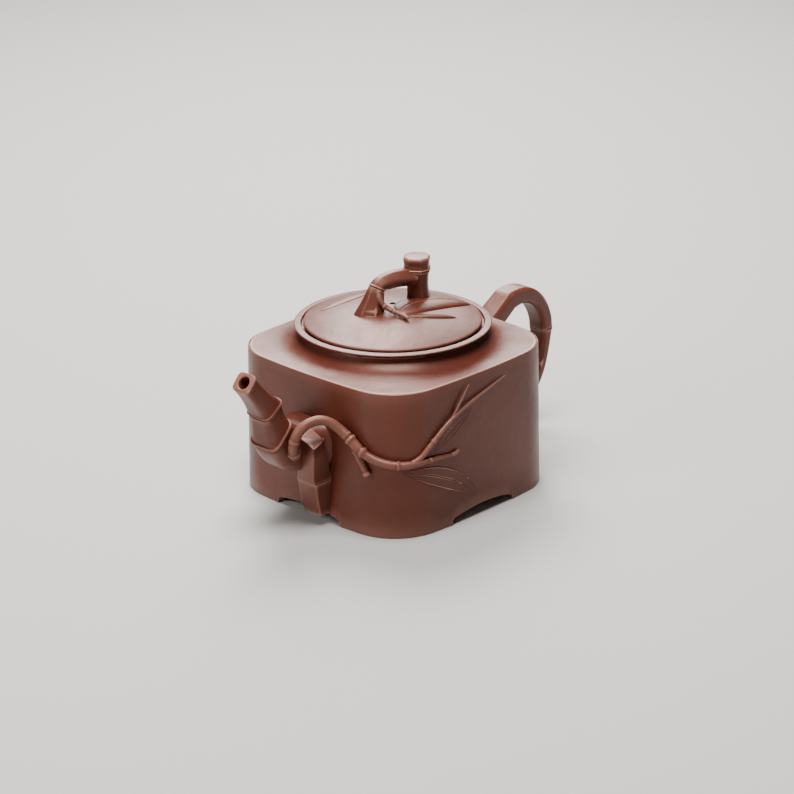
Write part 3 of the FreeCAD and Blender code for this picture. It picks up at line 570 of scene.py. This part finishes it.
BRANCH = [(-61.8, -6.6, 32.0), (-63.6, -8.4, 32.9), (-65.6, -10.2, 37.2), (-65.0, -11.0, 40.9),
          (-63.1, -12.0, 44.1), (-59.9, -13.2, 46.0), (-56.3, -15.2, 46.7), (-53.4, -17.9, 45.7),
          (-51.4, -21.0, 43.2),
          (-50.3, -24.6, 40.4), (-49.6, -28.2, 37.4), (-48.6, -32.2, 34.7), (-46.9, -36.0, 32.9),
          (-44.8, -39.4, 31.8), (-42.2, -42.3, 31.2), (-39.0, -44.9, 31.0), (-35.0, -46.7, 31.2),
          (-30.2, -47.9, 31.2), (-24.1, -48.5, 30.9), (-17.6, -48.7, 30.2)]
BRANCH_RADIUS = 2.1
BRANCH_RADII = [BRANCH_RADIUS * k for k in (1.3, 1.12, 1.0, 0.97, 0.95, 0.93, 0.92, 0.92, 0.95, 1.0, 0.98,
                                            0.86, 0.84, 0.82, 0.80, 0.76, 0.64, 0.48, 0.38, 0.30)]
BRANCH_JOINTS = ((0.045, 0.2, 0.7), (0.115, 0.1, 0.5), (0.445, 0.18, 0.7), (0.525, 0.2, 0.7),
                 (0.7, 0.16, 0.5), (0.86, 0.25, 0.5))
THORN = [(-50.4, -25.0, 41.2), (-50.6, -25.4, 42.2), (-50.7, -25.7, 42.8)]
BUD = [(-17.8, -48.8, 30.2), (-16.0, -49.0, 30.6), (-14.4, -48.9, 31.4)]
# Each twig's points, its radius at each, its joints, and how deep its cut end is hollowed.
TWIGS = {
    "cut_twig": ([(-48.8, -26.4, 36.6), (-48.7, -28.6, 32.8), (-48.5, -30.6, 29.6), (-48.1, -32.4, 26.2)],
                 [1.6, 1.5, 1.3, 1.5], ((0.15, 0.2, 0.5), (0.93, 0.18, 0.45)), 0.2),
    "long_twig": ([(-38.5, -45.2, 31.0), (-33.4, -46.9, 33.2), (-29.0, -48.0, 37.4), (-23.4, -48.7, 41.9),
                   (-17.9, -49.1, 45.4), (-10.0, -49.2, 48.4), (1.6, -49.0, 51.6), (12.2, -48.6, 54.2)],
                  [1.1, 1.1, 0.95, 0.85, 0.7, 0.55, 0.42, 0.2], ((0.24, 0.22, 0.5), (0.46, 0.22, 0.45)), 0.0),
    "short_twig": ([(-18.6, -48.8, 44.4), (-15.3, -49.0, 48.7), (-12.0, -49.0, 52.6), (-8.8, -48.9, 56.4)],
                   [0.55, 0.5, 0.42, 0.2], (), 0.0),
}


def make_branch():
    return joined([tube(BRANCH, BRANCH_RADII, BRANCH_JOINTS),
                   tube(THORN, [0.95, 0.7, 0.4], sides=12),
                   tube(BUD, [0.7, 0.75, 0.3], sides=12)])


piece("Branch", *make_branch(), "branch")
for node, (path, radii, joints, cut_end) in TWIGS.items():
    piece(node.title(), *tube(path, radii, joints, sides=16, cut_end=cut_end), node)

# --- leaves on the wall -------------------------------------------------------------


def wall_y(x, z):
    """The front wall's y at a place along it."""
    half = half_at(z)
    inset = BULGE - half
    corner = CORNER - (BASE_HALF - half)
    reach = (-2 * inset + math.sqrt(4 * inset ** 2 - 8 * (inset ** 2 - (BULGE - corner) ** 2))) / 4
    edge = reach + corner * math.sin(math.atan2(reach, inset + reach))
    if abs(x) <= edge:
        return inset - math.sqrt(BULGE ** 2 - x * x)
    return -reach - math.sqrt(max(corner ** 2 - (abs(x) - reach) ** 2, 0.0))


def leaf_patch(start, tip, full_side, flat_side, place, height, rows=48, columns=28, lead=1.0):
    """A pointed leaf laid on a surface: place turns plan and height into a point."""
    start, tip = Vector(start), Vector(tip)
    chord = tip - start
    side = Vector((-chord.y, chord.x)).normalized()
    points, faces = [], []
    for row in range(rows + 1):
        s = row / rows
        bow = (4 * s * (1 - s)) ** 0.85
        skewed = (4 * s ** lead * (1 - s ** lead)) ** 0.85
        upper, lower = full_side * skewed, flat_side * bow
        for column in range(columns + 1):
            t = 2 * column / columns - 1
            offset = lower + (upper - lower) * (t + 1) / 2
            plan = start + chord * s + side * offset
            points.append(place(plan.x, plan.y, height(s, t)))
    wide = columns + 1
    for row in range(rows):
        for column in range(columns):
            a = row * wide + column
            faces.append((a, a + 1, a + wide + 1, a + wide))
    return points, faces


def wall_place(x, z, lift):
    return (x, wall_y(x, z) - lift, z)


def line_leaf(s, t):
    """Raised outline and midrib with a faint blade between them."""
    fade = math.sin(math.pi * min(max(s, 0.0), 1.0)) ** 0.35
    rim = math.exp(-((1 - abs(t) - 0.055) / 0.05) ** 2)
    rib = math.exp(-(t / 0.04) ** 2)
    return -0.12 + fade * (0.14 + 0.46 * rim + 0.36 * rib) * (1.0 if abs(t) < 0.999 else -0.6)


def faint_leaf(s, t):
    return 0.38 * line_leaf(s, t) - 0.02


lower_leaf = leaf_patch((-40.0, 27.5), (-3.5, 9.6), 7.0, -1.8, wall_place, line_leaf, 90, 60)
upper_leaf = leaf_patch((-27.5, 33.4), (-6.0, 46.5), 1.6, -2.2, wall_place, faint_leaf, 60, 40)
piece("LowerLeaf", *lower_leaf, "lower_leaf", material=LINED)
piece("UpperLeaf", *upper_leaf, "upper_leaf", material=LINED)

# --- lid ----------------------------------------------------------------------------

LID_APEX, LID_SPHERE, LID_RADIUS, LID_THICK, VENT = 75.6, 100.8, 35.5, 3.2, 1.1


LID_RINGS = (34.0, 32.5, 30, 27, 24, 21, 18, 15, 12, 9, 6.5, 4.5, 3, 2, VENT + 0.25)


def dome(radius, under=0.0):
    ball = LID_SPHERE - under
    return LID_APEX - LID_SPHERE + math.sqrt(ball ** 2 - radius ** 2)


def make_lid():
    outline = [(30.0, 67.4), (33.6, 67.4), (34.3, 68.3), (LID_RADIUS - 0.4, 68.4), (LID_RADIUS - 0.08, 68.5)]
    rim, turn = 0.7, math.radians(90 - 20.6)
    centre = (LID_RADIUS - rim, dome(LID_RADIUS - rim) - rim * 1.02)
    outline += [(centre[0] + rim * math.cos(turn * k / 7), centre[1] + rim * math.sin(turn * k / 7))
                for k in range(8)]
    outline += [(r, dome(r)) for r in LID_RINGS]
    outline += [(VENT, dome(VENT) - 0.25), (VENT, dome(VENT, LID_THICK))]
    outline += [(r, dome(r, LID_THICK)) for r in (6, 14, 22, 30)]
    return lathe(outline)


piece("LidPlate", *make_lid(), "lid_plate", body="lid")


def dome_place(x, y, lift):
    normal = Vector((x, y, dome(math.hypot(x, y)) - LID_APEX + LID_SPHERE)).normalized()
    return Vector((x, y, dome(math.hypot(x, y)))) + normal * lift


def full_leaf(rise):
    """A swelling blade with a sunk midrib and slanting veins."""
    def height(s, t):
        fade = math.sin(math.pi * min(max(s, 0.0), 1.0)) ** 0.45
        blade = max(1 - t * t, 0.0) ** 0.55
        rib = math.exp(-(t / 0.05) ** 2)
        veins = 0.07 * math.sin(26 * (s - 0.18 * abs(t)) * math.pi) * min(abs(t) * 4, 1.0) * (1 - abs(t))
        return -0.08 + fade * (rise * blade - 0.34 * rib + veins)
    return height


# Each lid leaf: root, tip, how far its two edges bow out, how much it swells, how early it widens.
LID_LEAVES = {
    "broad_lid_leaf": ((-3.4, -12.0), (33.0, -8.0), 11.6, -3.2, 1.7, 0.55),
    "narrow_lid_leaf": ((-3.0, -14.0), (15.5, -21.5), 2.0, -1.9, 0.9, 1.0),
    "rear_lid_leaf": ((4.5, 20.4), (-21.5, 19.5), 3.4, -3.4, 0.9, 1.0),
}
for node, (start, tip, full_side, flat_side, rise, lead) in LID_LEAVES.items():
    leaf = leaf_patch(start, tip, full_side, flat_side, dome_place, full_leaf(rise), 64, 44, lead)
    piece(node.title(), *leaf, node, body="lid", sharp=70)

# --- knob ---------------------------------------------------------------------------

# Stations along the knob: x, y, z, heading in x and z, width and depth.
KNOB_FOOT = [(-11.0, 0, 71.8, 0.2, 1, 14.5, 14.5), (-10.8, 0, 73.8, 0.2, 1, 12.6, 12.6),
             (-10.4, 0, 75.8, 0.2, 1, 11.0, 11.0), (-9.2, 0, 79.4, 0.28, 0.95, 8.6, 8.6),
             (-7.8, 0, 83.1, 0.5, 0.86, 7.0, 7.0)]
KNOB_ARCH = [(-7.45, 0, 83.8, 0.5, 0.86, 6.9, 6.9), (-6.2, 0, 84.8, 0.72, 0.7, 7.0, 6.6),
             (-4.0, 0, 85.3, 0.92, 0.38, 7.3, 6.8), (0.0, 0, 85.7, 1, 0.03, 7.8, 7.0),
             (4.5, 0, 85.4, 1, -0.06, 8.3, 7.0), (9.4, 0, 85.0, 1, -0.1, 8.8, 7.2)]
KNOB_LEG = [(13.6, 0, 71.6, 0, 1, 14.5, 14.5), (13.2, 0, 73.6, 0, 1, 11.2, 11.2),
            (12.9, 0, 76.0, 0, 1, 9.4, 9.4), (12.5, 0, 80.0, 0, 1, 8.7, 8.7),
            (12.2, 0, 84.0, 0, 1, 9.4, 9.4), (12.1, 0, 87.0, 0, 1, 10.3, 10.3)]
KNOB_CULM = [(12.1, 0, 87.9, 0, 1, 10.7, 10.7), (12.1, 0, 88.8, 0, 1, 10.4, 10.4),
             (12.1, 0, 90.0, 0, 1, 10.3, 10.3), (12.1, 0, 91.3, 0, 1, 10.8, 10.8),
             (12.1, 0, 92.0, 0, 1, 10.9, 10.9)]
# A knob joint, as how far along and how far out.
NODE_STEPS = ((-0.75, 0.0), (-0.5, 0.35), (-0.25, 0.3), (-0.1, -0.35), (0.1, -0.35), (0.25, 0.4), (0.5, 0.5),
              (0.8, 0.1))
KNOB_FACET = 0.33


def knob_node(x, z, hx, hz, size, depth):
    heading = Vector((hx, 0, hz)).normalized()
    return skin([cut_ring(Vector((x, 0, z)) + heading * slide, heading, size + grow, depth + grow,
                          KNOB_FACET * size, 0.7) for slide, grow in NODE_STEPS])


def make_knob():
    spans = [culm(line, facet_share=KNOB_FACET, soft=0.7, steps=4, ends=ends)
             for line, ends in ((KNOB_FOOT, (0, 0)), (KNOB_ARCH, (0, 0)), (KNOB_LEG, (0, 0)),
                                (KNOB_CULM, (0, 0.95)))]
    foot_joint = knob_node(-7.6, 83.55, 0.5, 0.86, 6.9, 6.8)
    culm_joint = knob_node(12.1, 87.45, 0, 1, 10.6, 10.6)
    return joined(spans + [foot_joint, culm_joint])


piece("Knob", *make_knob(), "knob", body="lid")
KNOB_TWIG = [(-7.8, -1.4, 84.2), (-9.3, -3.6, 81.6), (-8.8, -5.6, 78.6), (-7.4, -7.8, 76.9),
             (-6.0, -11.0, 76.0), (-5.0, -16.2, 75.3)]
KNOB_TWIG_RADII = [1.2, 1.15, 1.0, 1.05, 0.85, 0.75]
KNOB_TWIG_JOINTS = ((0.1, 0.25, 0.5), (0.42, 0.22, 0.5), (0.66, 0.25, 0.5), (0.9, 0.22, 0.5))
piece("KnobTwig", *tube(KNOB_TWIG, KNOB_TWIG_RADII, KNOB_TWIG_JOINTS, sides=16), "knob_twig", body="lid")

# --- carried-over CAD pieces --------------------------------------------------------

for name in ("body_floor", "strainer", "lid_flange"):
    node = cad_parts[name]
    node.data.materials.clear()
    node.data.materials.append(PLAIN)
    node.data.shade_smooth()
    node.data.set_sharp_from_angle(angle=math.radians(30))

# --- floor, light and camera --------------------------------------------------------


def plain_surface(name, colour, roughness):
    material = bpy.data.materials.new(name)
    material.use_nodes = True
    shader = material.node_tree.nodes["Principled BSDF"]
    shader.inputs["Base Color"].default_value = (*colour, 1)
    shader.inputs["Roughness"].default_value = roughness
    return material


FLOOR_HALF = 4
mesh = bpy.data.meshes.new("Floor")
mesh.from_pydata([(-FLOOR_HALF, -FLOOR_HALF, 0), (FLOOR_HALF, -FLOOR_HALF, 0),
                  (FLOOR_HALF, FLOOR_HALF, 0), (-FLOOR_HALF, FLOOR_HALF, 0)], [], [(0, 1, 2, 3)])
mesh.materials.append(plain_surface("floor", (0.42, 0.415, 0.405), 0.8))
floor = bpy.data.objects.new("Floor", mesh)
bpy.context.scene.collection.objects.link(floor)


LAMP_WHITE = (1.0, 0.97, 0.94)
WORLD_LIGHT = 0.04
MIDDLE = AXIS + Vector((0, 0, 0.045))


def softbox(name, direction, distance, size, power, colour=(1, 1, 1)):
    data = bpy.data.lights.new(name, "AREA")
    data.shape, data.size, data.energy, data.color = "SQUARE", size, power, colour
    lamp = bpy.data.objects.new(name, data)
    lamp.location = MIDDLE + Vector(direction).normalized() * distance
    lamp.rotation_euler = (MIDDLE - lamp.location).to_track_quat("-Z", "Y").to_euler()
    bpy.context.scene.collection.objects.link(lamp)


softbox("Top", (-0.16, -0.14, 1.0), 0.9, 0.4, 15.0, LAMP_WHITE)
softbox("Overhead", (0.3, 0.48, 0.82), 0.9, 0.4, 13.0, LAMP_WHITE)
softbox("Sheen", (0.6, 0.58, 0.56), 1.0, 0.6, 11.0, LAMP_WHITE)
softbox("Key", (-0.94, 0.12, 0.48), 1.0, 0.26, 4.5, LAMP_WHITE)
softbox("Front", (-0.72, -0.6, 0.46), 1.6, 0.3, 1.5, LAMP_WHITE)
world = bpy.data.worlds.new("World")
bpy.context.scene.world = world
world.use_nodes = True
world.node_tree.nodes["Background"].inputs["Color"].default_value = (1, 1, 1, 1)
world.node_tree.nodes["Background"].inputs["Strength"].default_value = WORLD_LIGHT

AZIMUTH, ELEVATION, ROLL = map(math.radians, (-45.68, 21.21, -0.62))
LENS, SENSOR, SHIFT_X, SHIFT_Y, CAMERA_DISTANCE = 129.2, 36.0, 0.0045, -0.0271, 1.137


def make_camera():
    back = Vector((math.sin(AZIMUTH) * math.cos(ELEVATION), -math.cos(AZIMUTH) * math.cos(ELEVATION),
                   math.sin(ELEVATION)))
    right = Vector((math.cos(AZIMUTH), math.sin(AZIMUTH), 0.0))
    up = back.cross(right)
    data = bpy.data.cameras.new("Camera")
    data.lens, data.sensor_width = LENS, SENSOR
    data.shift_x, data.shift_y = SHIFT_X, SHIFT_Y
    camera = bpy.data.objects.new("Camera", data)
    turn = Matrix((math.cos(ROLL) * right + math.sin(ROLL) * up,
                   math.cos(ROLL) * up - math.sin(ROLL) * right, back)).transposed().to_4x4()
    camera.matrix_world = Matrix.Translation(MIDDLE + CAMERA_DISTANCE * back) @ turn
    bpy.context.scene.collection.objects.link(camera)
    bpy.context.scene.camera = camera


make_camera()
